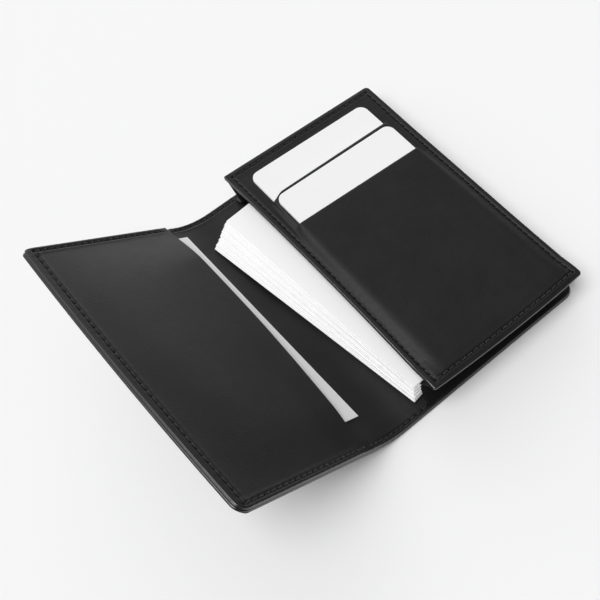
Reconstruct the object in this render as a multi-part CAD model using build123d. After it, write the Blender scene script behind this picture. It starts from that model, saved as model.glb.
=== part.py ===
from build123d import *
from math import atan, degrees, radians, sin, cos, tan
import os

# Folding leather case for business cards, modelled open with its flap raised.
# Millimetres. X runs across the opening, the pocket at +X and the flap at -X.
# Y runs along the spine, Z is up. The origin is the middle of the underside of
# the back panel, which lies flat.

# ---- driving dimensions -----------------------------------------------------
LENGTH = 110.0                # along the spine
PANEL_WIDTH = 68.4            # back panel beside the spine, and front panel
FLAP_LENGTH = 64.5            # from the flap's fold to its free edge
CORNER = 4.5                  # round corners of the cover
PANEL_CORNER = 1.6            # round corners of the front panel

LEATHER = 1.2                 # outer leather of the cover
LINING = 0.8                  # inner leather of the cover
STIFFENER = 0.4               # board between them
COVER = LEATHER + LINING
SEAM_GAP = 0.12               # a strip's end stands this far from its fold

PANEL_LEATHER = 0.7
PANEL_LINING = 0.6
PANEL_SLOPE = 3.82            # the front panel drops towards its outer side
PANEL_MID_Z = 13.5            # its top, at its middle

FOLD_X = -37.6                # first fold, where the cover leaves the flat
SPINE_LENGTHS = (9.6, 5.6, 5.6)
SPINE_ANGLES = (3.0, 14.5, 26.0)
FLAP_ANGLE = 37.5

ID_CARD = (54.0, 85.6, 0.76)  # round-cornered plastic card
ID_CORNER = 3.2
BUSINESS_CARD = (55.0, 91.0, 0.33)
SLIT_REAR_Y = 35.3
SLIT_FRONT_Y = 20.5
REAR_CARD_TOP_Y = 49.0
FRONT_CARD_TOP_Y = 34.85
REAR_CARD_X = -0.5
FRONT_CARD_X = -0.1
POCKET_END_Y = -51.3          # the slot pockets' closed end
PLAY = 0.05                   # beside and above a card

CARDS = 19                    # in the main pocket
CARD_PITCH = 0.345
STACK_TILT = 1.5
STACK_INNER_X = 16.6
STACK_BOTTOM = ((-17.8, -1.1), 8.7)   # lowest card's middle and turn
STACK_TOP = ((-12.8, -0.55), 4.2)        # highest card's

THREAD = 0.5                  # wide, and the width of its groove
THREAD_DEEP = 0.25
STITCH_INSET = 2.4            # from an edge
GUSSET_FOLD = 5.2             # how far the gusset's fold reaches in
GUSSET_WALL = 0.5
FLAP_CARD_LIFT = 0.62         # the flap card's inner edge rides on the curve
FLAP_CARD_TURN = 0.9
FLAP_CARD_OUT = 1.65          # and it stands this far inside the flap's curve


# ---- helpers ----------------------------------------------------------------
def plate(x0, x1, y0, y1, z0, z1):
    """A flat piece between three pairs of faces."""
    block = Box(x1 - x0, y1 - y0, z1 - z0)
    return Pos((x0 + x1) / 2, (y0 + y1) / 2, (z0 + z1) / 2) * block


def round_ends(body, side, radius):
    """Round the two upright corners at one end of a plate along X."""
    corners = body.edges().filter_by(Axis.Z).sort_by(Axis.X)
    return fillet(corners[-2:] if side > 0 else corners[:2], radius)


def rounded(width, length, thick, radius):
    """A plate with four round corners, its top at z = 0."""
    return Pos(0, 0, -thick) * extrude(RectangleRounded(width, length, radius), thick)


def ring(width, length, band, radius):
    """A flat closed band, as wide as a thread, round a rectangle."""
    outer = RectangleRounded(width + band, length + band, radius + band / 2)
    inner = RectangleRounded(width - band, length - band, radius - band / 2)
    return outer - inner


def save(node, *solids):
    """One node, as one file of one or more separate solids."""
    shape = solids[0] if len(solids) == 1 else Compound(children=list(solids))
    export_step(shape, f"parts/{node}.step")


def one(shape):
    """The single solid that a boolean made."""
    return shape.solids()[0]


def along(point, angle, length):
    """The far end of a strip that leaves a point at an angle."""
    return (point[0] - length * cos(radians(angle)), point[1] + length * sin(radians(angle)))


os.makedirs("parts", exist_ok=True)
HALF = LENGTH / 2
EDGE_X = PANEL_WIDTH / 2
SEAM_Y = HALF - STITCH_INSET
folds = [(FOLD_X, COVER)]
for size, lean in zip(SPINE_LENGTHS, SPINE_ANGLES):
    folds.append(along(folds[-1], lean, size))
flap_frame = Pos(folds[3][0], 0, folds[3][1]) * Rot(0, FLAP_ANGLE, 0)
panel_frame = Pos(0, 0, PANEL_MID_Z) * Rot(0, PANEL_SLOPE, 0)


# ---- the cover's back -------------------------------------------------------
def cover_back():
    """Outer leather, board, lining and the seam's thread under the back."""
    start = FOLD_X + SEAM_GAP
    leather = round_ends(plate(start, EDGE_X, -HALF, HALF, 0, LEATHER), 1, CORNER)
    run = plate(start - 1, EDGE_X - STITCH_INSET, -SEAM_Y, SEAM_Y, 0, THREAD_DEEP)
    run = round_ends(run, 1, CORNER - 1)
    inside = offset_plate(run, THREAD)
    groove = run - inside
    thread = groove & plate(start, EDGE_X, -HALF, HALF, 0.03, THREAD_DEEP)
    board = plate(start + 1.5, EDGE_X - 5, -HALF + 6, HALF - 6, LEATHER, LEATHER + STIFFENER)
    lining = round_ends(plate(start, EDGE_X - 0.3, -HALF + 0.3, HALF - 0.3, LEATHER, COVER), 1, CORNER)
    save("cover_back_leather", one(leather - groove))
    save("cover_back_stitching", one(thread))
    save("cover_back_board", board)
    save("cover_back_lining", one(lining - board))


def offset_plate(run, band):
    """The inside of a U-shaped seam: the same plate, a band smaller on three sides."""
    box = run.bounding_box()
    inner = plate(box.min.X - 1, box.max.X - band, box.min.Y + band, box.max.Y - band, -1, 1)
    return round_ends(inner, 1, CORNER - 1 - band)


def gusset_wall(x, low):
    """The gusset's V at one place along X, as a closed profile at the +Y end."""
    top = panel_under(x)
    middle = (low + top) / 2
    foot, tip, wall = HALF - 0.8, HALF - 0.8 - GUSSET_FOLD, GUSSET_WALL
    outline = [(foot, low), (tip, middle), (foot, top), (foot - wall * 1.6, top)]
    outline += [(tip - wall * 1.6, middle), (foot - wall * 1.6, low)]
    return make_face(Polyline(*[(x, y, z) for y, z in outline], close=True))


def panel_under(x):
    """The underside of the front panel's lining, with a little room."""
    thick = (PANEL_LEATHER + PANEL_LINING) / cos(radians(PANEL_SLOPE))
    return PANEL_MID_Z - x * tan(radians(PANEL_SLOPE)) - thick - PLAY


def gusset():
    """A folded V at both ends of the pocket and along its outer side."""
    low = COVER + 0.02
    mouth, outer = -EDGE_X + 1.0, EDGE_X - 1.0
    end = loft([gusset_wall(mouth, low), gusset_wall(outer - 1.6, low)], ruled=True)
    ends = [end, end.mirror(Plane.XZ)]
    top = panel_under(outer) - low
    fold, wall = GUSSET_FOLD * 0.8, GUSSET_WALL * 1.6
    outline = [(outer, low), (outer - fold, low + top / 2), (outer, low + top), (outer - wall, low + top)]
    outline += [(outer - fold - wall, low + top / 2), (outer - wall, low)]
    reach = HALF - 0.8 - GUSSET_FOLD - wall - 0.1
    side = extrude(make_face(Polyline(*[(x, 0, z) for x, z in outline], close=True)), reach, both=True)
    save("pocket_gusset", *ends, side)


cover_back()
gusset()


# ---- the spine: three strips that bend as one -------------------------------
def spine_strip(name, point, angle, length):
    """One strip of the cover, from a fold on its inner face to the next."""
    place = Pos(point[0], 0, point[1]) * Rot(0, angle, 0)
    x0, x1 = -length + SEAM_GAP, -SEAM_GAP
    half = THREAD / 2
    seam = [plate(x0, x1, y - half, y + half, -COVER, -COVER + THREAD_DEEP) for y in (-SEAM_Y, SEAM_Y)]
    leather = plate(x0, x1, -HALF, HALF, -COVER, -LINING)
    threads = [place * (t & plate(x0, x1, -HALF, HALF, -COVER + 0.03, 0)) for t in seam]
    for groove in seam:
        leather -= groove
    save(f"{name}_leather", place * one(leather))
    save(f"{name}_lining", place * plate(x0, x1, -HALF + 0.3, HALF - 0.3, -LINING, 0))
    save(f"{name}_stitching", *[one(t) for t in threads])


for letter, point, angle, length in zip("abc", folds, SPINE_ANGLES, SPINE_LENGTHS):
    spine_strip(f"spine_{letter}", point, angle, length)


# ---- the flap ---------------------------------------------------------------
def flap():
    """Cover pieces and a stitched pocket whose mouth faces the spine."""
    x0, x1 = -FLAP_LENGTH - 1.0, -SEAM_GAP
    leather = round_ends(plate(x0, x1, -HALF, HALF, -COVER, -LINING), -1, CORNER)
    board = plate(x0 + 5, x1 - 1.5, -HALF + 6, HALF - 6, -LINING - STIFFENER, -LINING)
    leather = one(leather - board)
    lining = round_ends(plate(x0 + 0.3, x1, -HALF + 0.3, HALF - 0.3, -LINING, 0), -1, CORNER)

    card_w, card_l, card_t = BUSINESS_CARD
    card_tilt = degrees(atan(FLAP_CARD_LIFT / card_w))
    card_plane = Pos(-1.0 + FLAP_CARD_OUT - card_w, 0, PLAY) * Rot(0, -card_tilt, 0)
    card = card_plane * Rot(0, 0, FLAP_CARD_TURN) * plate(0, card_w, -card_l / 2, card_l / 2, 0, card_t)
    card = Pos(0, 2.15, 0) * card

    mouth = -4.0
    roof = 1.0
    outer = plate(x0 + 0.3, mouth, -HALF + 0.3, HALF - 0.3, 0, 6)
    cut = card_plane * plate(-20, 80, -HALF, HALF, card_t + PLAY + roof, 12)
    cavity = card_plane * plate(-5.5, 80, -HALF + 4.2, HALF - 4.2, -2, card_t + PLAY)
    panel = round_ends(outer, -1, CORNER) - cut - cavity
    track = plate(x0 + STITCH_INSET + 0.3, mouth - 1.5, -SEAM_Y, SEAM_Y, 0, 6)
    track = round_ends(track, -1, CORNER - 1)
    inner = plate(x0 + STITCH_INSET + 0.3 + THREAD, mouth + 3, -SEAM_Y + THREAD, SEAM_Y - THREAD, -1, 7)
    inner = round_ends(inner, -1, CORNER - 1 - THREAD)
    below = card_plane * plate(-20, 80, -HALF, HALF, -5, card_t + PLAY + roof - THREAD_DEEP)
    groove = track - inner - below
    skim = card_plane * plate(-20, 80, -HALF, HALF, card_t + PLAY + roof - 0.03, 12)
    thread = groove - skim - cut
    save("flap_leather", flap_frame * leather)
    save("flap_board", flap_frame * board)
    save("flap_lining", flap_frame * lining)
    save("flap_pocket_panel", flap_frame * one(panel - groove))
    save("flap_stitching", flap_frame * one(thread))
    save("flap_card", flap_frame * card)


flap()


# ---- the front panel and its two slot pockets -------------------------------
rear_tilt = degrees(atan((PANEL_LEATHER - PLAY) / (SLIT_REAR_Y - POCKET_END_Y)))
rear_frame = Pos(0, SLIT_REAR_Y, 0.02) * Rot(rear_tilt, 0, 0)
MID_Z = ID_CARD[2] + PLAY + PANEL_LEATHER
front_start = MID_Z + PLAY - (SLIT_REAR_Y - SLIT_FRONT_Y) * tan(radians(rear_tilt))
front_end = ID_CARD[2] + 0.35
front_tilt = degrees(atan((front_start - front_end + PANEL_LEATHER) / (SLIT_FRONT_Y - POCKET_END_Y)))
front_frame = Pos(0, SLIT_FRONT_Y, front_start) * Rot(front_tilt, 0, 0)


def id_card(frame, top_y, slit_y, x):
    """A round-cornered card that leaves its slit and shows its top."""
    width, length, thick = ID_CARD
    body = extrude(RectangleRounded(width, length, ID_CORNER), thick)
    return frame * Pos(x, top_y - slit_y - length / 2, 0) * body


def raised(frame, x0, x1, length, height):
    """A solid hood with sloping sides, from its slit towards -Y."""
    low, slope = -3.0, 1.3
    outline = [(x0 - slope, low), (x0 - slope, 0), (x0, height)]
    outline += [(x1, height), (x1 + slope, 0), (x1 + slope, low)]
    face = make_face(Polyline(*[(x, 0, z) for x, z in outline], close=True))
    return frame * extrude(face, length, dir=(0, -1, 0))


def front_panel():
    """One leather with two slits, its lining, two thin pockets and the seam."""
    card_t = ID_CARD[2]
    half_card = ID_CARD[0] / 2
    left, right = REAR_CARD_X - half_card - 0.4, FRONT_CARD_X + half_card + 0.4
    panel = rounded(PANEL_WIDTH, LENGTH, PANEL_LEATHER, PANEL_CORNER)
    below = plate(-50, 50, -70, 70, -20, -PANEL_LEATHER)
    middle = raised(rear_frame, left - 0.8, right + 0.8, SLIT_REAR_Y - SLIT_FRONT_Y + 1, MID_Z)
    lower_h = card_t + PLAY + PANEL_LEATHER
    lower = raised(front_frame, left - 0.8, right + 0.8, SLIT_FRONT_Y - POCKET_END_Y + 1.1, lower_h)
    leather = panel + (middle - below) + (lower - below)
    rear_room = rear_frame * plate(left, right, POCKET_END_Y - SLIT_REAR_Y, 0.5, -3, card_t + PLAY)
    front_room = front_frame * plate(left, right, POCKET_END_Y - SLIT_FRONT_Y, 0.5, -6, card_t + PLAY)
    above_rear, above_front = (plate(-50, 50, y, 70, -3, 5) for y in (SLIT_REAR_Y, SLIT_FRONT_Y))
    leather = leather - (rear_room - above_rear) - (front_room - above_front)
    groove = extrude(ring(PANEL_WIDTH - 2 * STITCH_INSET, LENGTH - 2 * STITCH_INSET, THREAD, 2), THREAD_DEEP)
    groove = Pos(0, 0, -THREAD_DEEP) * groove
    leather = one(leather - groove)
    thread = groove & plate(-50, 50, -70, 70, -1, -0.03)
    lining = Pos(0, 0, -PANEL_LEATHER) * rounded(PANEL_WIDTH, LENGTH, PANEL_LINING, PANEL_CORNER)
    save("front_panel_leather", panel_frame * leather)
    save("front_panel_lining", panel_frame * lining)
    save("front_panel_stitching", panel_frame * one(thread))

    sheet = 0.12
    floor = front_frame * plate(left + 0.2, right - 0.2, POCKET_END_Y - SLIT_FRONT_Y + 0.2, -0.4,
                                -sheet - 0.02, -0.02)
    save("front_slot_pocket", panel_frame * floor)
    save("slot_card_rear", panel_frame * id_card(rear_frame, REAR_CARD_TOP_Y, SLIT_REAR_Y, REAR_CARD_X))
    save("slot_card_front", panel_frame * id_card(front_frame, FRONT_CARD_TOP_Y, SLIT_FRONT_Y, FRONT_CARD_X))


front_panel()


# ---- the cards in the main pocket -------------------------------------------
def card_stack():
    """Business cards, fanned a little more from top to bottom."""
    width, length, thick = BUSINESS_CARD
    place = Pos(STACK_INNER_X, 0, COVER + 0.12) * Rot(0, STACK_TILT, 0)
    cards = []
    for i in range(CARDS):
        t = i / (CARDS - 1)
        x = (1 - t) * STACK_BOTTOM[0][0] + t * STACK_TOP[0][0] - STACK_INNER_X
        y = (1 - t) * STACK_BOTTOM[0][1] + t * STACK_TOP[0][1]
        turn = (1 - t) * STACK_BOTTOM[1] + t * STACK_TOP[1]
        card = Rot(0, 0, turn) * plate(-width / 2, width / 2, -length / 2, length / 2, 0, thick)
        cards.append(place * Pos(x, y, i * CARD_PITCH) * card)
    save("card_stack", *cards)


card_stack()
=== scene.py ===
import math

import bmesh
import bpy
import numpy as np
from mathutils import Matrix, Vector


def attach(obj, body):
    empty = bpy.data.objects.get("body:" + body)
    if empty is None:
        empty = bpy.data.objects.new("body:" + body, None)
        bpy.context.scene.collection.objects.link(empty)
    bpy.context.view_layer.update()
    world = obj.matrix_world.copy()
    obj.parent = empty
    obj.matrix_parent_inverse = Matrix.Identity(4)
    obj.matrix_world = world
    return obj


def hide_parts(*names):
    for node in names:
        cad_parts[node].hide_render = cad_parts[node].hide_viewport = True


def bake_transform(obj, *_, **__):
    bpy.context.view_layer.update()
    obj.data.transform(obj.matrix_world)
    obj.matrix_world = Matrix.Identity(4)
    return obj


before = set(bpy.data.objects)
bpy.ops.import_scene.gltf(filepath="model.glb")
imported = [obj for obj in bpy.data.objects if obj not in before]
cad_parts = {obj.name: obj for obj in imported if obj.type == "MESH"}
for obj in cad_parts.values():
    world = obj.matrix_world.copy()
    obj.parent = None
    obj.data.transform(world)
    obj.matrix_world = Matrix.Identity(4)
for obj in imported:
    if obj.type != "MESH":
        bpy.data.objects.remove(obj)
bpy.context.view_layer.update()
MM = 0.001
rng = np.random.default_rng(7)

# ---- sizes in millimetres, as the frame has them -----------------------------
HALF = 55.0                    # half the case's length along the spine
EDGE_X = 34.2                  # outer edge of the back and the front panel
LEATHER, COVER = 1.2, 2.0      # outer leather, and with the lining
CORNER = 4.5                   # round corners of the cover
BEND_X = -43.0                 # where the spine's curve leaves the table
BEND_R = 27.4                  # its radius, underneath
BEND = math.radians(37.5)
FLAP_U = BEND_X - BEND_R * BEND    # the flat flap starts here, along the cover
FLAP_LENGTH = 64.9
FLAP_END = FLAP_U - FLAP_LENGTH
PANEL_SLOPE = math.radians(3.82)
PANEL_Z = 13.5                 # the front panel's top at its middle
PANEL_LEATHER, PANEL_THICK = 0.7, 1.3
SLIT_REAR, SLIT_FRONT = 35.3, 20.5
INSET = 2.4                    # seam from an edge
PITCH = 2.65                   # of the stitches
ROLL = (22, 45, 67, 90)        # degrees of turn at each step of a rolled edge
FOLDS = (-37.6, -47.19, -52.61, -57.64)    # x of the spine's fold axes


# ---- mapping of flat leather into its place ----------------------------------
def lie(u, y, z):
    """Cover: u along it, z above its underside. Flat, then the curve, then the flap."""
    s = np.maximum(FLAP_U - u, 0)
    a = np.clip((BEND_X - u) / BEND_R, 0, BEND)
    bow = 1 - (y / HALF) ** 2
    z = z + (0.45 - 0.22 * z) * smooth((s - FLAP_LENGTH + 4) / 3)
    z = z - 0.9 * bow * (s / FLAP_LENGTH) ** 1.5
    s = s + 0.4 * bow * s / FLAP_LENGTH
    x = np.where(u > BEND_X, u, BEND_X) - (BEND_R - z) * np.sin(a) - s * np.cos(a)
    height = BEND_R - (BEND_R - z) * np.cos(a) + s * np.sin(a)
    return np.stack([x, y + 0 * x, height], -1)


def on_panel(x, y, z):
    """Front panel: z above its flat top, which slopes down outwards. Its edges bow."""
    c, s = math.cos(PANEL_SLOPE), math.sin(PANEL_SLOPE)
    ends = smooth((np.abs(y) - 25) / 30)
    x = x + smooth((x - 15) / 19) * (0.35 + np.where(y > 0, 0.25, -0.05) * ends)
    x = x + smooth((-x - 28) / 5) * (0.4 + 0.2 * y / HALF - 0.8 * (y / HALF) ** 2)
    z = z + 0.5 * smooth((x - 20) / 14) * smooth((-y - 20) / 35) + 0.7 * smooth((-y - 44) / 8)
    y = y + 0.45 * smooth((y - 44) / 8) + (0.75 * (x / 34) ** 2 - 0.45) * smooth((-y - 44) / 8)
    return np.stack([x * c + z * s, y + 0 * x, PANEL_Z - x * s + z * c], -1)


def smooth(t):
    t = np.clip(t, 0, 1)
    return t * t * (3 - 2 * t)


# ---- meshes ------------------------------------------------------------------
def mesh_object(name, verts, faces, materials, kinds=None):
    """A smooth-shaded object from millimetre points."""
    mesh = bpy.data.meshes.new(name)
    mesh.from_pydata((np.asarray(verts) * MM).tolist(), [], faces)
    for material in materials:
        mesh.materials.append(material)
    if kinds is not None:
        mesh.polygons.foreach_set("material_index", kinds)
    b = bmesh.new()
    b.from_mesh(mesh)
    bmesh.ops.remove_doubles(b, verts=b.verts, dist=2e-6)
    bmesh.ops.dissolve_degenerate(b, edges=b.edges, dist=1e-6)
    bmesh.ops.recalc_face_normals(b, faces=b.faces)
    for f in b.faces:
        f.smooth = True
    b.to_mesh(mesh)
    b.free()
    obj = bpy.data.objects.new(name, mesh)
    bpy.context.collection.objects.link(obj)
    return obj


def grid_quads(index):
    """Faces over a grid of point numbers, seen from above."""
    quads = np.stack([index[:-1, :-1], index[1:, :-1], index[1:, 1:], index[:-1, 1:]], -1)
    return quads.reshape(-1, 4)


def edge_profile(radius, thick):
    """(outwards, share of the thickness) round an edge: a wide roll on top, a tight one below."""
    turn = [math.radians(a) for a in ROLL]
    high, low = min(1.6 * radius / thick, 0.8), min(0.4 * radius / thick, 0.15)
    top = [(radius * math.sin(a), high * (1 - math.cos(a))) for a in turn]
    return top + [(radius * math.sin(a), 1 - low * (1 - math.cos(a))) for a in reversed(turn)]


def pull_in(X, Y, box, radii, open_ends=()):
    """Shift the ends of each line inwards where a corner is round."""
    x0, x1, y0, y1 = box
    for side, pair, at in ((1, radii[0], x0), (-1, radii[1], x1)):
        if ("low" if side > 0 else "high") in open_ends:
            continue
        r = np.where(Y > (y0 + y1) / 2, pair[0], pair[1])
        past = np.maximum(np.abs(Y - (y0 + y1) / 2) - ((y1 - y0) / 2 - r), 0)
        cut = r - np.sqrt(np.maximum(r * r - past * past, 0))
        X = X + side * cut * smooth(1 - np.abs(X - at) / 9.0)
    return X


def outwards(x, y, box, radii, open_ends, ends):
    """The way out of a rounded outline at each of its points."""
    x0, x1, y0, y1 = box
    mid = (y0 + y1) / 2
    low = x < (x0 + x1) / 2
    pair = np.where(low[:, None], np.array(radii[0])[None], np.array(radii[1])[None])
    r = np.where(y > mid, pair[:, 0], pair[:, 1])
    closed = np.where(low, "low" not in open_ends, "high" not in open_ends)
    vx = np.where(low, x0 + r - x, x - x1 + r)
    vx = np.where(closed, np.maximum(vx, 0), 0)
    vy = np.maximum(np.abs(y - mid) - ((y1 - y0) / 2 - r), 0)
    bare = (vx < 1e-6) & (vy < 1e-6)
    vy = np.where(bare & ends, 1.0, vy)
    vx = np.where(bare & ~ends & closed, 1.0, vx)
    norm = np.maximum(np.hypot(vx, vy), 1e-9)
    return np.where(low, -vx, vx) / norm, np.sign(y - mid) * vy / norm


def rim(verts, faces, kinds, X, Y, T, B, rows, box, radii, edge, place, open_ends=()):
    """Round the edge of a top and a bottom grid over from one to the other."""
    nr, nc = X.shape
    index = np.arange(nr * nc).reshape(nr, nc)
    first, last = rows[0], rows[-1]
    ring = [(first, j) for j in range(nc)] + [(i, nc - 1) for i in rows[1:]]
    ring += [(last, j) for j in range(nc - 2, -1, -1)] + [(i, 0) for i in rows[-2:0:-1]]
    ri, rj = np.array([p[0] for p in ring]), np.array([p[1] for p in ring])
    rx, ry, rt, rb = X[ri, rj], Y[ri, rj], T[ri, rj], B[ri, rj]
    outx, outy = outwards(rx, ry, box, radii, open_ends, (ri == first) | (ri == last))
    loops, count = [index[ri, rj]], 2 * nr * nc
    for out, share in edge_profile(edge, float(np.mean(rt - rb))):
        verts.append(place(rx + outx * out, ry + outy * out, rt + (rb - rt) * share))
        loops.append(np.arange(count, count + len(ring)))
        count += len(ring)
    loops.append(index[ri, rj] + nr * nc)
    for k in range(len(ring)):
        n = (k + 1) % len(ring)
        if "low" in open_ends and rj[k] == rj[n] == 0:
            continue
        if "high" in open_ends and rj[k] == rj[n] == nc - 1:
            continue
        for step, (upper, lower) in enumerate(zip(loops[:-1], loops[1:])):
            faces.append([int(upper[k]), int(upper[n]), int(lower[n]), int(lower[k])])
            # Top roll takes the edge paint; the side and lower roll take the darker colour painted
            # as shade.
            kinds.append(1 if step < len(ROLL) else 2)


def slab(name, span, rows, lines, top, thick, place, materials, radii=((0, 0), (0, 0)), edge=0.3,
         open_ends=()):
    """A sheet with a relief on top and rounded edges.

    span: its edges at low and high x. rows: y of each line across. lines: x of each line along.
    top(x, y): height of its face. thick: number or function. radii: corners (+y, -y) at low x,
    then at high x. open_ends: "low" or "high" where it goes on as another piece.
    """
    x0 = span[0] + (0 if "low" in open_ends else edge)
    x1 = span[1] - (0 if "high" in open_ends else edge)
    y0, y1 = min(rows) + edge, max(rows) - edge
    inner = [tuple(max(r - edge, 0.01) for r in pair) for pair in radii]
    box = (x0, x1, y0, y1)
    lines = np.clip(np.array(sorted(lines)), x0, x1)
    lines[0], lines[-1] = x0, x1
    X, Y = np.meshgrid(lines, np.clip(np.array(sorted(rows, reverse=True)), y0, y1))
    X = pull_in(X, Y, box, inner, open_ends)
    T = top(X, Y)
    B = T - (thick(X, Y) if callable(thick) else thick)
    nr, nc = X.shape
    verts = [place(X, Y, T).reshape(-1, 3), place(X, Y, B).reshape(-1, 3)]
    quads = grid_quads(np.arange(nr * nc).reshape(nr, nc))
    faces = quads.tolist() + (quads[:, ::-1] + nr * nc).tolist()
    kinds = [0] * len(faces)
    rim(verts, faces, kinds, X, Y, T, B, list(range(nr)), box, inner, edge, place, open_ends)
    return mesh_object(name, np.concatenate(verts), faces, materials, kinds)


# ---- seams -------------------------------------------------------------------
class Seam:
    """A straight row of stitches. Along "x" or "y", at the other coordinate, from a to b."""

    def __init__(self, along, at, a, b):
        self.along, self.at, self.a, self.b = along, at, a, b
        self.count = max(1, round(abs(b - a) / PITCH))
        self.step = (b - a) / self.count

    def relief(self, x, y):
        """A groove with a deeper hole where two stitches meet."""
        s, d = (x, y - self.at) if self.along == "x" else (y, x - self.at)
        low, high = min(self.a, self.b), max(self.a, self.b)
        inside = (s > low - 0.4) & (s < high + 0.4)
        stitch = (s - self.a) / self.step
        near = np.abs(stitch - np.round(stitch)) * abs(self.step)
        groove = 0.20 * np.exp(-((d / 0.42) ** 2))
        hole = 0.34 * np.exp(-((near / 0.36) ** 2) - (d / 0.34) ** 2)
        swell = 0.13 * np.exp(-(((np.abs(d) - 1.0) / 0.5) ** 2))
        swell = swell * (1 - 0.55 * np.exp(-((near / 0.6) ** 2)))
        return np.where(inside, swell - groove - hole, 0)

    def stitches(self):
        """Middle of each stitch and its direction."""
        for i in range(self.count):
            s = self.a + (i + 0.5) * self.step
            yield ((s, self.at), (1, 0)) if self.along == "x" else ((self.at, s), (0, 1))


def relief(seams, x, y):
    total = 0 * x
    for seam in seams:
        total = total + seam.relief(x, y)
    return total


def stitch_piece(name, seams, face, place, keep=None, sink=0.0):
    """Separate stitches: short bowed cords that dive into a needle hole at both ends, with a
    near-black disc in each hole as painted shade.
    """
    verts, faces, kinds = [], [], []
    parts, sides, hole_sides = 7, 6, 8
    t = np.linspace(-1, 1, parts)
    for seam in seams:
        for (cx, cy), (dx, dy) in seam.stitches():
            if keep and not keep(cx, cy):
                continue
            length = abs(seam.step) * 0.42
            px, py = cx + (dx * length - dy * 0.07) * t, cy + (dy * length + dx * 0.07) * t
            radius = 0.22 * (1 - 0.3 * t**4)
            base = len(verts)
            for k in range(parts):
                for j in range(sides):
                    a = 2 * math.pi * j / sides
                    across, up = radius[k] * math.cos(a), 0.8 * radius[k] * math.sin(a)
                    lift = 0.05 - 0.30 * abs(t[k]) ** 3 - sink
                    verts.append((px[k] - dy * across, py[k] + dx * across, lift + up))
            for k in range(parts - 1):
                for j in range(sides):
                    n = (j + 1) % sides
                    faces.append([base + k * sides + j, base + k * sides + n,
                                  base + (k + 1) * sides + n, base + (k + 1) * sides + j])
            faces.append([base + j for j in reversed(range(sides))])
            faces.append([base + (parts - 1) * sides + j for j in range(sides)])
            kinds += [0] * ((parts - 1) * sides + 2)
            # A near-black disc sunk in each needle hole: painted shade.
            hx, hy = cx + dx * abs(seam.step) / 2, cy + dy * abs(seam.step) / 2
            base = len(verts)
            for j in range(hole_sides):
                a = 2 * math.pi * j / hole_sides
                along, across = 0.36 * math.cos(a), 0.27 * math.sin(a)
                verts.append((hx + dx * along - dy * across, hy + dy * along + dx * across,
                              -0.17 - sink))
            verts.append((hx, hy, -0.24 - sink))
            faces += [[base + j, base + (j + 1) % hole_sides, base + hole_sides]
                      for j in range(hole_sides)]
            kinds += [1] * hole_sides
    v = np.array(verts)
    z = face(v[:, 0], v[:, 1])
    obj = mesh_object(name, place(v[:, 0], v[:, 1], z + v[:, 2]), faces, [THREAD, HOLE_SHADE], kinds)
    return obj


def lines_between(a, b, step, seams, along):
    """Grid lines from a to b: even ones, and close ones beside each seam and edge."""
    count = max(2, round((b - a) / step))
    out = list(np.linspace(a, b, count + 1))
    beside = (0.18, 0.36, 0.6, 0.95, 1.4)
    for seam in seams:
        if seam.along == along:
            continue
        out += [seam.at] + [seam.at + k * d for d in beside for k in (-1, 1)]
    out += [a + 0.35, b - 0.35, a + 0.5, b - 0.5, a + 0.9, b - 0.9]
    out = sorted(v for v in out if a <= v <= b)
    kept = [out[0]]
    for v in out[1:]:
        if v - kept[-1] > 0.09:
            kept.append(v)
    kept[-1] = b
    return kept


def corner_rows(a, b, radius):
    """Extra lines where round corners run."""
    turn = [math.sin(math.radians(t)) for t in (0, 20, 40, 55, 68, 78, 85)]
    return [a + radius * (1 - s) for s in turn] + [b - radius * (1 - s) for s in turn]


# ---- materials ---------------------------------------------------------------
def shader(name, colour, rough, spec=0.5, sheen=0.0):
    m = bpy.data.materials.new(name)
    m.use_nodes = True
    nodes = m.node_tree.nodes
    b = nodes["Principled BSDF"]
    b.inputs["Base Color"].default_value = (*colour, 1)
    b.inputs["Roughness"].default_value = rough
    b.inputs["Specular IOR Level"].default_value = spec
    b.inputs["Sheen Weight"].default_value = sheen
    return m, nodes, m.node_tree.links, b


def coordinates(nodes, links):
    at = nodes.new("ShaderNodeTexCoord")
    mapping = nodes.new("ShaderNodeMapping")
    links.new(at.outputs["Object"], mapping.inputs["Vector"])
    return mapping.outputs["Vector"]


def noise(nodes, links, vector, scale, detail=3.0, rough=0.55):
    n = nodes.new("ShaderNodeTexNoise")
    n.inputs["Scale"].default_value = scale
    n.inputs["Detail"].default_value = detail
    n.inputs["Roughness"].default_value = rough
    links.new(vector, n.inputs["Vector"])
    return n.outputs["Fac"]


def ramp(nodes, links, value, stops):
    """A colour that goes from the first of two stops to the second."""
    r = nodes.new("ShaderNodeValToRGB")
    for element, (position, colour) in zip(r.color_ramp.elements, stops):
        element.position, element.color = position, (*colour, 1)
    links.new(value, r.inputs["Fac"])
    return r.outputs["Color"]


def remap(nodes, links, value, low, high):
    n = nodes.new("ShaderNodeMapRange")
    n.inputs["To Min"].default_value = low
    n.inputs["To Max"].default_value = high
    links.new(value, n.inputs["Value"])
    return n.outputs["Result"]


def bump(nodes, links, height, strength, distance, normal=None):
    n = nodes.new("ShaderNodeBump")
    n.inputs["Strength"].default_value = strength
    n.inputs["Distance"].default_value = distance
    links.new(height, n.inputs["Height"])
    if normal is not None:
        links.new(normal, n.inputs["Normal"])
    return n.outputs["Normal"]


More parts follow.
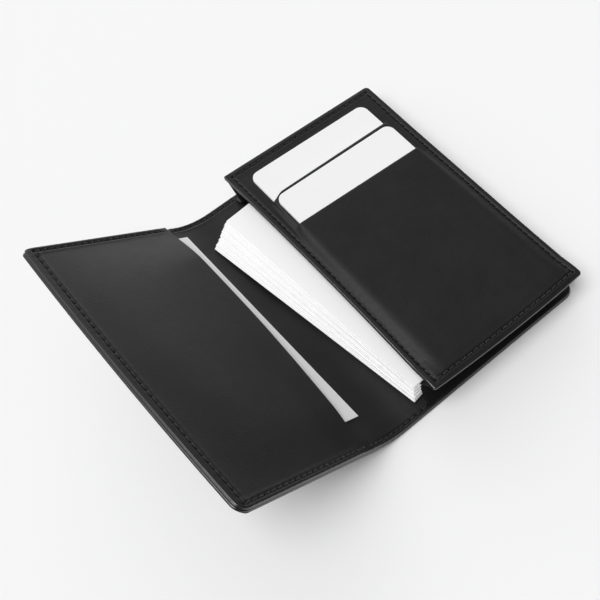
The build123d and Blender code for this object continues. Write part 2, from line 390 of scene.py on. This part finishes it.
def leather(name, tones, rough=0.43, spec=0.42, crease=0.0):
    """Black smooth leather: fine pebbled grain and slow tone changes. crease: fine wrinkles."""
    dark, light = tones
    m, nodes, links, b = shader(name, dark, rough, spec)
    at = coordinates(nodes, links)
    cells = nodes.new("ShaderNodeTexVoronoi")
    cells.feature = "SMOOTH_F1"
    cells.inputs["Scale"].default_value = 1700
    cells.inputs["Smoothness"].default_value = 0.6
    links.new(at, cells.inputs["Vector"])
    fine = noise(nodes, links, at, 4200, 2)
    tone = noise(nodes, links, at, 55, 4, 0.6)
    links.new(ramp(nodes, links, tone, [(0.3, dark), (0.72, light)]), b.inputs["Base Color"])
    links.new(remap(nodes, links, noise(nodes, links, at, 240, 3), rough - 0.05, rough + 0.07),
              b.inputs["Roughness"])
    n = bump(nodes, links, cells.outputs["Distance"], 0.32, 0.00012)
    n = bump(nodes, links, fine, 0.20, 0.00005, n)
    if crease:
        slow = noise(nodes, links, at, 320, 4, 0.65)
        n = bump(nodes, links, slow, crease, 0.0003, n)
    links.new(n, b.inputs["Normal"])
    return m


def edge_paint(name, colour):
    """Burnished, painted roll of an edge: smoother and glossier."""
    m, nodes, links, b = shader(name, colour, 0.22, 1.0)
    at = coordinates(nodes, links)
    lighter = tuple(1.5 * c for c in colour)
    tone = noise(nodes, links, at, 900, 3)
    links.new(ramp(nodes, links, tone, [(0.3, colour), (0.8, lighter)]), b.inputs["Base Color"])
    scratches = noise(nodes, links, at, 1600, 3)
    links.new(bump(nodes, links, scratches, 0.12, 0.0001), b.inputs["Normal"])
    return m


def thread_material():
    """Twisted black thread, painted darker in the grooves of its twist and lighter on its ridges,
    as shade and highlight.
    """
    m, nodes, links, b = shader("thread", (0.012, 0.012, 0.013), 0.5, 0.3, sheen=0.15)
    dark, light = (0.007, 0.007, 0.008), (0.022, 0.022, 0.024)
    at = coordinates(nodes, links)
    wave = nodes.new("ShaderNodeTexWave")
    wave.bands_direction = "DIAGONAL"
    wave.inputs["Scale"].default_value = 900
    links.new(at, wave.inputs["Vector"])
    links.new(bump(nodes, links, wave.outputs["Fac"], 0.5, 0.0001), b.inputs["Normal"])
    # Colour follows the twist's bump waves: painted shade in the grooves, painted highlight on the
    # ridges.
    links.new(ramp(nodes, links, wave.outputs["Fac"], [(0.2, dark), (0.9, light)]),
              b.inputs["Base Color"])
    return m


def paper(name, colour, rough, spec, fibre):
    """White card stock or plastic, with the faintest tone and surface."""
    m, nodes, links, b = shader(name, colour, rough, spec)
    at = coordinates(nodes, links)
    tone = noise(nodes, links, at, 30, 3)
    darker = tuple(0.97 * c for c in colour)
    links.new(ramp(nodes, links, tone, [(0.2, darker), (0.8, colour)]), b.inputs["Base Color"])
    fibres = noise(nodes, links, at, 2600, 3)
    links.new(bump(nodes, links, fibres, fibre, 0.00004), b.inputs["Normal"])
    return m


def gusset_shade_leather():
    """Thin matt black leather of the gusset, painted darker than the cover as the shade deep in
    the pocket's recess.
    """
    m, nodes, links, b = shader("gusset", (0.003, 0.003, 0.0033), 0.5, 0.2)
    at = coordinates(nodes, links)
    dark, light = (0.002, 0.002, 0.0022), (0.005, 0.005, 0.0055)
    tone = noise(nodes, links, at, 300, 4)
    links.new(ramp(nodes, links, tone, [(0.3, dark), (0.8, light)]), b.inputs["Base Color"])
    links.new(bump(nodes, links, noise(nodes, links, at, 900, 4), 0.6, 0.0003), b.inputs["Normal"])
    return m


OUTER_TONES = ((0.0068, 0.0068, 0.0072), (0.0115, 0.0115, 0.012))
INNER_TONES = ((0.006, 0.006, 0.0064), (0.0105, 0.0105, 0.011))
OUTER = leather("cover_leather", OUTER_TONES)
INNER = leather("lining_leather", INNER_TONES, crease=0.08)
PANEL = leather("panel_leather", OUTER_TONES, rough=0.50, spec=0.30, crease=0.34)
POCKET = leather("pocket_leather", INNER_TONES, rough=0.41, crease=0.06)
EDGE = edge_paint("edge_paint", (0.008, 0.008, 0.0085))
# Side and lower roll of every edge: darker and matt, painted shade on the faces turned down and
# away from the light.
SHADED_SIDE = shader("edge_side_painted_shade", (0.004, 0.004, 0.0043), 0.6, 0.12)[0]
THREAD = thread_material()
# Near-black colour of the needle holes: painted shade.
HOLE_SHADE = shader("needle_hole_painted_shade", (0.0012, 0.0012, 0.0013), 0.9, 0.05)[0]
PAPER = paper("paper_card", (0.90, 0.90, 0.90), 0.6, 0.3, 0.05)
PLASTIC = paper("plastic_card", (0.86, 0.86, 0.865), 0.38, 0.4, 0.01)
# Gusset colour: near black, painted shade of the recess.
GUSSET_SHADE = gusset_shade_leather()


# ---- the cover: outer leather and lining, cut only where the bodies change ------
FLAP_CORNERS = (1.5, 4.2)
FLAP_SEAM = FLAP_END + 2.9
BACK_SEAM = EDGE_X - INSET
SEAM_Y = HALF - 1.75
LONG = [Seam("x", y, FLAP_SEAM, BACK_SEAM) for y in (SEAM_Y, -SEAM_Y)]
BACK_END = Seam("y", BACK_SEAM, -SEAM_Y, SEAM_Y)
FLAP_OUTER = Seam("y", FLAP_SEAM, -SEAM_Y, SEAM_Y)
UNDER = LONG + [BACK_END, FLAP_OUTER]
BODIES = ("case_back", "spine_a", "spine_b", "spine_c", "flap")


def along_cover(x):
    """u of a point on the inner face near the curve, from its x."""
    if x > BEND_X:
        return x
    return BEND_X - BEND_R * math.asin((BEND_X - x) / (BEND_R - COVER))


SPINE_START, SPINE_END = -33.0, -60.0    # x where the bending part begins and ends
middles = [(a + b) / 2 for a, b in zip(FOLDS[:-1], FOLDS[1:])]
cuts = [SPINE_START] + [along_cover(x) for x in middles + [SPINE_END]]
REGIONS = [("back", (cuts[0], EDGE_X), "case_back")]
for i, pair in enumerate(zip(BODIES[:-1], BODIES[1:])):
    REGIONS.append((f"wrap_{i + 1}", (cuts[i + 1], cuts[i]), pair))
REGIONS.append(("flap", (FLAP_END, cuts[4]), "flap"))
STANDS = {"wrap_1": "spine_a", "wrap_2": "spine_b", "wrap_4": "spine_c"}    # CAD strips


def mount(obj, span, body):
    """Ride on one body. A piece over the joint of two is fixed where it lies, on neither body."""
    if isinstance(body, str):
        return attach(obj, body)
    low, high = (lie(np.array(u), np.array(0.0), COVER) * MM for u in span)
    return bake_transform(obj, *body, start=tuple(high), end=tuple(low))


def rows_for(seams, radii=()):
    rows = lines_between(-HALF, HALF, PITCH / 4, seams, "y")
    for radius in radii:
        rows = sorted(set(rows + corner_rows(-HALF, HALF, radius)))
    return rows


def under_face(u, y):
    """Height of the outer leather's lower face: its seam grooves go up into it."""
    return -relief(UNDER, u, y)


def cover():
    """Both leathers and their stitches, region by region."""
    for name, span, body in REGIONS:
        ends = ["low"] * (name != "flap") + ["high"] * (name != "back")
        radii = (FLAP_CORNERS if name == "flap" else (0, 0),
                 (CORNER, CORNER) if name == "back" else (0, 0))
        rows = rows_for(LONG, sorted(set(radii[0] + radii[1]) - {0}))
        lines = lines_between(*span, PITCH / 4, UNDER, "x")
        outer = slab(f"cover_leather_{name}", span, rows, lines,
                     lambda x, y: LEATHER + 0 * x, lambda x, y: LEATHER - under_face(x, y),
                     lie, [OUTER, EDGE, SHADED_SIDE], radii, 0.45, ends)
        inset = (span[0] + 0.2 * (name == "flap"), span[1] - 0.2 * (name == "back"))
        top_seams = LONG if name not in ("back", "flap") else []
        lining = slab(f"cover_lining_{name}", inset, [y * (HALF - 0.2) / HALF for y in rows],
                      lines_between(*inset, PITCH / 4, [], "x"),
                      lambda x, y, s=top_seams: COVER + relief(s, x, y), COVER - LEATHER - 0.01,
                      lie, [INNER, EDGE, SHADED_SIDE], radii, 0.35, ends)
        inside = lambda x, y, s=span: s[0] <= x < s[1]
        thread = stitch_piece(f"cover_stitches_{name}", UNDER, lambda x, y: 0 * x,
                              lambda u, y, z: lie(u, y, -z), inside, sink=0.28)
        pieces = [outer, lining, thread]
        if name.startswith("wrap"):
            pieces.append(stitch_piece(f"lining_stitches_{name}", LONG,
                                       lambda x, y: COVER + 0 * x, lie, inside))
        for piece in pieces:
            mount(piece, span, body)
        node = STANDS.get(name)
        if node:
            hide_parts(f"{node}_leather")
            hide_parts(f"{node}_lining")
            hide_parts(f"{node}_stitching")
        if name == "back":
            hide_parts("cover_back_leather")
            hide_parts("cover_back_lining", "cover_back_board")
            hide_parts("cover_back_stitching")
        if name == "flap":
            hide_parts("flap_leather")
            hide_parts("flap_lining", "flap_board")


# ---- the flap's pocket -----------------------------------------------------------
POCKET_LEATHER = 0.8
POCKET_SEAMS = [Seam("x", y, FLAP_SEAM, FLAP_U - 5.5) for y in (SEAM_Y, -SEAM_Y)] + [FLAP_OUTER]


def mouth_line(y):
    """u of the pocket's edge: nearest the spine a little above the middle."""
    up = np.clip((y - 10) / 45, 0, 1) ** 3.6 * 2.0
    down = np.clip((10 - y) / 65, 0, 1) ** 1.6 * 4.5
    return FLAP_U - 2.45 - up - down


def pocket_top(u, y):
    """The pocket's leather swells over the card and is pressed down at the seams."""
    side, end = SEAM_Y - np.abs(y), u - FLAP_SEAM
    both = np.maximum(side, 0) * np.maximum(end, 0) / (np.abs(side) + np.abs(end) + 6)
    swell = 1.35 * smooth(np.minimum(both, np.minimum(side, end)) / 13.0)
    return COVER + 0.02 + POCKET_LEATHER + swell + relief(POCKET_SEAMS, u, y)


def flap_pocket():
    rows = rows_for(POCKET_SEAMS, FLAP_CORNERS)
    span = (FLAP_END + 0.1, FLAP_U)
    lines = lines_between(*span, PITCH / 4, POCKET_SEAMS, "x")
    near = 12.0

    def place(u, y, z):
        """The lines nearest the mouth are bent to follow it."""
        shift = (mouth_line(y) - FLAP_U) * smooth((u - (FLAP_U - near)) / near)
        return lie(u + shift, y, z)

    obj = slab("flap_pocket", span, rows, lines, pocket_top, POCKET_LEATHER, place,
               [POCKET, EDGE, SHADED_SIDE], (FLAP_CORNERS, (0, 0)), 0.38)
    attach(obj, "flap")
    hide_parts("flap_pocket_panel")
    flat = lambda u, y: pocket_top(u, y) - relief(POCKET_SEAMS, u, y)
    thread = stitch_piece("flap_pocket_stitches", POCKET_SEAMS, flat, lie)
    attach(thread, "flap")
    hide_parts("flap_stitching")


# ---- the front panel ----------------------------------------------------------------
P_X, P_Y = EDGE_X - INSET, HALF - INSET
P_NEAR = 0.15 - P_Y             # the near seam sits further in
PANEL_SEAMS = [Seam("x", y, -P_X, P_X) for y in (P_Y, P_NEAR)]
PANEL_SEAMS += [Seam("y", x, P_NEAR, P_Y) for x in (P_X, -P_X)]
SLIT_LOW, SLIT_HIGH = -28.3, 27.9
PANEL_CORNERS = ((0.6, 0.9), (1.7, 1.3))


def swelling(t):
    """0 to 1, soft at the foot and slowly levelling off."""
    t = np.clip(t, 0, 1)
    t = (np.sqrt(t * t + 0.01) - 0.1) / (math.sqrt(1.01) - 0.1)
    return 1 - (1 - t) ** 2.2


def rise(x, down):
    """Leather raised over a card: 0 outside, 1 over it. Its feet spread below the slit."""
    spread = 1 - np.exp(-np.maximum(down, 0) / 3.0)
    left_foot, right_foot = SLIT_LOW - 3.5 * spread, SLIT_HIGH + 3.6 * spread
    reach = 1.0 + 5.2 * spread
    return swelling((x - left_foot) / reach) * swelling((right_foot - x) / reach)


def panel_top(x, y, rear=True, front=True):
    z = relief(PANEL_SEAMS, x, y)
    edge = np.minimum(EDGE_X - np.abs(x), HALF - np.abs(y))
    z = z + 0.07 * smooth((3.2 - edge) / 1.0)
    low, lower = SLIT_REAR - y, SLIT_FRONT - y
    end = 1 - (1 - np.clip((y + 54.4) / 10.4, 0, 1)) ** 1.5
    if rear:
        z = z + np.where(low > -1e-6, (1.27 - 0.0075 * low) * rise(x, 0.12 * low), 0) * end
    if front:
        z = z + np.where(lower > -1e-6, (1.36 - 0.0055 * lower) * rise(x, lower), 0) * end
    return z


def slit_shift(x, y):
    """The slits are not quite straight."""
    rear = 1.4 + 0.006 * x - 1.85 * (1 - smooth((x - SLIT_LOW) / 6))
    front = -0.017 * x
    return (rear * np.exp(-(((y - SLIT_REAR) / 4) ** 2))
            + front * np.exp(-(((y - SLIT_FRONT) / 5) ** 2)))


# Rows at a slit, from the low side into the mouth, out again and over the lip:
# how far back (1 is the whole depth), whether raised, share of the lip.
MOUTH = ((0, False, 0), (1, False, 0), (1, True, 1), (0, True, 1), (-0.03, True, 0.6),
         (-0.01, True, 0.2), (0.05, True, 0))


def front_panel():
    """One leather with two slits, each a real mouth under a lip."""
    edge, lip, depth = 0.48, 0.6, 3.0
    xs = lines_between(-EDGE_X, EDGE_X, PITCH / 4, PANEL_SEAMS, "x")
    xs += [SLIT_LOW + d for d in (0, 0.3, 0.55)] + [SLIT_HIGH - d for d in (0, 0.3, 0.55)]
    xs = sorted(xs)
    plain = rows_for(PANEL_SEAMS, sorted(set(sum(PANEL_CORNERS, ()))))
    plain = sorted(set(plain + [-51.9, -51.5, -51.1, -50.7]), reverse=True)
    rows = []                       # y, and then as in MOUTH
    for y in plain:
        for slit in (SLIT_REAR, SLIT_FRONT):
            if y < slit and rows and rows[-1][0] > slit:
                rows += [(slit, *step) for step in MOUTH]
        if all(abs(y - s) > 0.3 for s in (SLIT_REAR, SLIT_FRONT)):
            rows.append((y, 0, True, 0))
    ys = np.array([r[0] for r in rows])
    back = np.array([r[1] for r in rows])[:, None]
    under = np.array([r[3] for r in rows])[:, None]
    box = (-EDGE_X + edge, EDGE_X - edge, -HALF + edge, HALF - edge)
    inner = [tuple(r - edge for r in pair) for pair in PANEL_CORNERS]
    X, Y = np.meshgrid(np.clip(xs, box[0], box[1]), np.clip(ys, box[2], box[3]))
    X = pull_in(X, Y, box, inner)
    open_share = smooth((X - SLIT_LOW) / 0.9) * smooth((SLIT_HIGH - X) / 0.9)
    T = 0 * X
    for i, (y, _, up, _) in enumerate(rows):
        T[i] = panel_top(X[i], Y[i], rear=up or y != SLIT_REAR, front=up or y != SLIT_FRONT)
    T = T - under * open_share * lip
    Y = Y - back * depth * open_share + slit_shift(X, Y)
    B = -PANEL_LEATHER + 0 * X
    nr, nc = X.shape
    index = np.arange(nr * nc).reshape(nr, nc)
    verts = [on_panel(X, Y, T).reshape(-1, 3), on_panel(X, Y, B).reshape(-1, 3)]
    keep = [i for i in range(nr) if rows[i][0] not in (SLIT_REAR, SLIT_FRONT)]
    below = np.roll(grid_quads(index[keep] + nr * nc)[:, ::-1], 1, axis=1)
    faces = grid_quads(index).tolist() + below.tolist()
    kinds = [0] * len(faces)
    rim(verts, faces, kinds, X, Y, T, B, keep, box, inner, edge, on_panel)
    obj = mesh_object("front_panel_leather_top", np.concatenate(verts), faces,
                      [PANEL, EDGE, SHADED_SIDE], kinds)
    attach(obj, "front_panel")
    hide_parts("front_panel_leather", "front_slot_pocket")
    inset = 0.1
    rows = sorted(set(list(np.linspace(-HALF, HALF, 80)) + corner_rows(-HALF, HALF, 1.7)))
    rows = [y * (HALF - inset) / HALF for y in rows]
    lining = slab("front_panel_lining_sheet", (-EDGE_X + inset, EDGE_X - inset), rows,
                  list(np.linspace(-EDGE_X, EDGE_X, 50)), lambda x, y: -PANEL_LEATHER + 0 * x,
                  PANEL_THICK - PANEL_LEATHER, on_panel, [INNER, EDGE, SHADED_SIDE], PANEL_CORNERS, 0.25)
    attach(lining, "front_panel")
    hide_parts("front_panel_lining")
    flat = lambda x, y: panel_top(x, y) - relief(PANEL_SEAMS, x, y)
    thread = stitch_piece("front_panel_stitches", PANEL_SEAMS, flat, on_panel)
    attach(thread, "front_panel")
    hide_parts("front_panel_stitching")


# ---- the gusset -----------------------------------------------------------------------
def gusset():
    """One folded strip round three sides of the pocket, in towards the cards."""
    corner = 4.4
    plan = [(x, HALF, 0.0, 1.0) for x in np.linspace(-34.0, EDGE_X - corner, 60)]
    for a in np.radians(np.linspace(90, 0, 9))[1:]:
        c, s = math.cos(a), math.sin(a)
        plan.append((EDGE_X - corner * (1 - c), HALF - corner * (1 - s), c, s))
    plan += [(EDGE_X, y, 1.0, 0.0) for y in np.linspace(HALF - corner, 0, 26)[1:]]
    plan += [(x, -y, nx, -ny) for x, y, nx, ny in reversed(plan[:-1])]
    plan = np.array(plan)
    steps = np.r_[0, np.cumsum(np.hypot(*np.diff(plan[:, :2], axis=0).T))]
    bend = steps[64]
    away = np.minimum(np.abs(steps - bend), np.abs(steps[-1] - steps - bend))
    mouth = [np.exp(-((steps / 5) ** 2)), np.exp(-(((steps[-1] - steps) / 5) ** 2))]
    depth = 2.4 + 3.4 * smooth((away - 4) / 14) + 0.9 * (mouth[0] + mouth[1])
    foot = 1.7 + 0.3 * mouth[0] - 1.1 * mouth[1]
    head = 1.7 - 1.1 * (mouth[0] + mouth[1])
    forward_foot = -1.6 * mouth[0] + 1.0 * mouth[1]
    t = np.array([0, 0.04, 0.12, 0.22, 0.32, 0.40, 0.45, 0.48])
    t = np.r_[t, 0.50, 1 - t[::-1]]
    fold = 1 - np.abs(2 * t - 1) ** 1.35
    verts = []
    low = COVER - 0.1
    for k, (x, y, nx, ny) in enumerate(plan):
        inward = depth[k] * fold + foot[k] * (1 - t) + head[k] * t
        top = PANEL_Z - x * math.tan(PANEL_SLOPE) - PANEL_THICK + 0.1
        sideways = forward_foot[k] * (1 - t) ** 2
        verts.append(np.stack([x - nx * inward - sideways, y - ny * inward,
                               low + (top - low) * t], -1))
    verts = np.array(verts)
    n, m = verts.shape[:2]
    quads = grid_quads(np.arange(n * m).reshape(n, m))
    obj = mesh_object("pocket_gusset_fold", verts.reshape(-1, 3), quads.tolist(), [GUSSET_SHADE])
    wall = obj.modifiers.new("wall", "SOLIDIFY")
    wall.thickness, wall.offset = 0.6 * MM, 0
    soft = obj.modifiers.new("soft", "SUBSURF")
    soft.levels = soft.render_levels = 1
    settle(obj)
    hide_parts("pocket_gusset")
    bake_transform(obj)


def settle(obj):
    """Modifiers become the mesh."""
    graph = bpy.context.evaluated_depsgraph_get()
    mesh = bpy.data.meshes.new_from_object(obj.evaluated_get(graph))
    obj.modifiers.clear()
    obj.data = mesh


# ---- cards --------------------------------------------------------------------------------
def card_outline(width, length, radius):
    """Points round a card, two at each slightly softened corner."""
    points = []
    for cx, cy, first in ((1, 1, 0), (-1, 1, 90), (-1, -1, 180), (1, -1, 270)):
        for turn in (0, 90):
            a = math.radians(first + turn)
            points.append((cx * (width / 2 - radius) + radius * math.cos(a),
                           cy * (length / 2 - radius) + radius * math.sin(a)))
    return points


def card_object(name, cards, material):
    """Cards in one piece: each has crisp faces and a fine bevel all round."""
    verts, faces = [], []
    for outline, thick, place in cards:
        n = len(outline)
        bevel = min(0.05, thick * 0.25)
        shrink = [(x - math.copysign(bevel, x), y - math.copysign(bevel, y)) for x, y in outline]
        base = len(verts)
        for ring, z in ((shrink, 0), (outline, bevel), (outline, thick - bevel), (shrink, thick)):
            verts += [place((x, y, z)) for x, y in ring]
        for level in range(3):
            for k in range(n):
                a, b = base + level * n + k, base + level * n + (k + 1) % n
                faces.append([a, b, b + n, a + n])
        faces.append([base + k for k in reversed(range(n))])
        faces.append([base + 3 * n + k for k in range(n)])
    mesh = bpy.data.meshes.new(name)
    mesh.from_pydata([tuple(c * MM for c in v) for v in verts], [], faces)
    mesh.materials.append(material)
    obj = bpy.data.objects.new(name, mesh)
    bpy.context.collection.objects.link(obj)
    return obj


def card_stack():
    """Business cards fanned from the lowest to the highest, none quite square."""
    count, pitch, thick = 19, 0.345, 0.33
    outline = card_outline(55, 91, 0.02)
    cards = []
    base = Matrix.Translation((16.6, 0, 2.12)) @ Matrix.Rotation(math.radians(1.5), 4, "Y")
    for i in range(count):
        t = i / (count - 1)
        x = -34.4 + 5.0 * t + 0.12 * rng.normal()
        y = -1.1 + 0.55 * t + 0.12 * rng.normal()
        turn = math.radians(8.7 - 4.5 * t + 0.12 * rng.normal())
        m = base @ Matrix.Translation((x, y, i * pitch)) @ Matrix.Rotation(turn, 4, "Z")
        cards.append((outline, thick, lambda v, m=m: tuple(m @ Vector(v))))
    obj = card_object("business_cards", cards, PAPER)
    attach(obj, "card_stack")
    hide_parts("card_stack")


def restyle(node, material):
    """A CAD node whose shape is right keeps it, with a better material."""
    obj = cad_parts[node]
    for s in obj.material_slots:
        s.material = material


# ---- camera, light and floor -----------------------------------------------------------------
CAMERA_ROLL = -4.13            # degrees
TO_SUN = Vector((-0.438, 0.0, 0.899))
# Soft lights of the surroundings: direction, cosines where it starts and is full, strengths.
SKY = (((-0.492, 0.853, 0.174), -0.2, 1.0, 0.10, 0.76),
       ((0.352, 0.906, -0.24), 0.55, 0.98, 0.0, 2.1))


def stage():
    """Camera, soft sky and sun, and a pale floor."""
    scene = bpy.context.scene
    scene.view_settings.view_transform = "Standard"
    camera = bpy.data.objects.new("camera", bpy.data.cameras.new("camera"))
    bpy.context.collection.objects.link(camera)
    camera.data.lens = 61.14
    camera.data.sensor_width = 36.0
    eye, target = Vector((-0.14276, -0.13355, 0.31435)), Vector((-0.04075, 0.00555, 0.0))
    aim = (target - eye).to_track_quat("-Z", "Y").to_matrix()
    aim = aim @ Matrix.Rotation(math.radians(CAMERA_ROLL), 3, "Z")
    camera.matrix_world = Matrix.Translation(eye) @ aim.to_4x4()
    camera.data.clip_start = 0.01
    scene.camera = camera

    world = bpy.data.worlds.new("studio")
    world.use_nodes = True
    nodes, links = world.node_tree.nodes, world.node_tree.links
    where = nodes.new("ShaderNodeTexCoord")
    total = nodes.new("ShaderNodeMath")
    total.operation = "ADD"
    for i, (way, low, high, dark, bright) in enumerate(SKY):
        facing = nodes.new("ShaderNodeVectorMath")
        facing.operation = "DOT_PRODUCT"
        facing.inputs[1].default_value = way
        links.new(where.outputs["Generated"], facing.inputs[0])
        level = nodes.new("ShaderNodeMapRange")
        level.interpolation_type = "SMOOTHSTEP"
        level.inputs["From Min"].default_value = low
        level.inputs["From Max"].default_value = high
        level.inputs["To Min"].default_value = dark
        level.inputs["To Max"].default_value = bright
        links.new(facing.outputs["Value"], level.inputs["Value"])
        links.new(level.outputs["Result"], total.inputs[i])
    nodes["Background"].inputs["Color"].default_value = (1, 1, 1, 1)
    links.new(total.outputs["Value"], nodes["Background"].inputs["Strength"])
    scene.world = world

    sun = bpy.data.lights.new("key", "SUN")
    sun.energy, sun.angle = 2.45, math.radians(42)
    key = bpy.data.objects.new("key", sun)
    bpy.context.collection.objects.link(key)
    key.rotation_euler = (-TO_SUN).to_track_quat("-Z", "Y").to_euler()

    bpy.ops.mesh.primitive_plane_add(size=6)
    floor = bpy.context.object
    floor.name = "floor"
    m, nodes, links, b = shader("floor", (0.86, 0.86, 0.865), 0.7, 0.2)
    at = coordinates(nodes, links)
    grain = noise(nodes, links, at, 400, 2)
    links.new(bump(nodes, links, grain, 0.02, 0.0002), b.inputs["Normal"])
    floor.data.materials.append(m)


stage()
cover()
flap_pocket()
front_panel()
gusset()
card_stack()
for card in ("slot_card_rear", "slot_card_front"):
    restyle(card, PLASTIC)
restyle("flap_card", PAPER)
